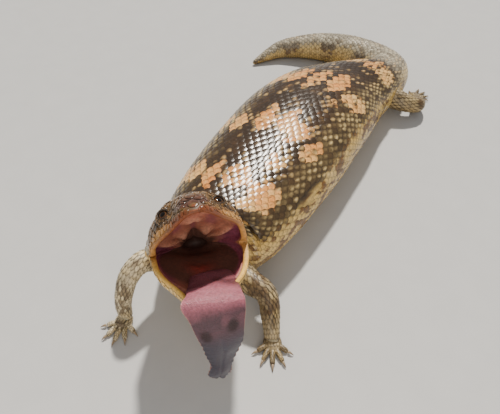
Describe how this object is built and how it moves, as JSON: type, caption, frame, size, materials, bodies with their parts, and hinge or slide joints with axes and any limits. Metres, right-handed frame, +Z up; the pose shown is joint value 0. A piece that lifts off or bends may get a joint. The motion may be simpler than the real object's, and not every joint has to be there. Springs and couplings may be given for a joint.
{
  "type": "blotched blue-tongued skink, gaping, still model",
  "caption": "Life-size still model of a blotched blue-tongued skink that gapes and hangs out its tongue, resting on belly, tail and feet.",
  "frame": {"origin": "middle of the underside of the whole animal's box, on the floor it rests on", "axes": "+Z up; the trunk lies along Y with the head towards -Y; +X is the animal's left"},
  "size_m": [0.189, 0.3327, 0.0928],
  "materials": {
    "back": "glossy overlapping scales, dark brown with salmon blotches",
    "head_skin": "satin shields, olive brown with cream lips",
    "leg_skin": "small satin scales, olive grey with dark edges",
    "tongue_skin": "moist, finely pitted, mauve to slate blue",
    "eye": "wet and very glossy dark brown",
    "claw": "satin horn"
  },
  "bodies": {
    "root": {"neck": "back", "torso_front": "back", "torso_middle": "back", "torso_rear": "back", "tail_base": "back", "tail_middle": "back", "tail_tip": "back", "head": "head_skin", "lower_jaw": "head_skin", "tongue": "tongue_skin", "eye_left": "eye", "upper_arm_left": "leg_skin", "forearm_left": "leg_skin", "hand_left": "leg_skin", "thigh_left": "leg_skin", "shank_left": "leg_skin", "foot_left": "leg_skin", "eye_right": "eye", "upper_arm_right": "leg_skin", "forearm_right": "leg_skin", "hand_right": "leg_skin", "thigh_right": "leg_skin", "shank_right": "leg_skin", "foot_right": "leg_skin", "claw_front_left_1": "claw", "claw_front_left_2": "claw", "claw_front_left_3": "claw", "claw_front_left_4": "claw", "claw_front_left_5": "claw", "claw_front_right_1": "claw", "claw_front_right_2": "claw", "claw_front_right_3": "claw", "claw_front_right_4": "claw", "claw_front_right_5": "claw", "claw_hind_left_1": "claw", "claw_hind_left_2": "claw", "claw_hind_left_3": "claw", "claw_hind_left_4": "claw", "claw_hind_left_5": "claw", "claw_hind_right_1": "claw", "claw_hind_right_2": "claw", "claw_hind_right_3": "claw", "claw_hind_right_4": "claw", "claw_hind_right_5": "claw"}
  },
  "joints": []
}
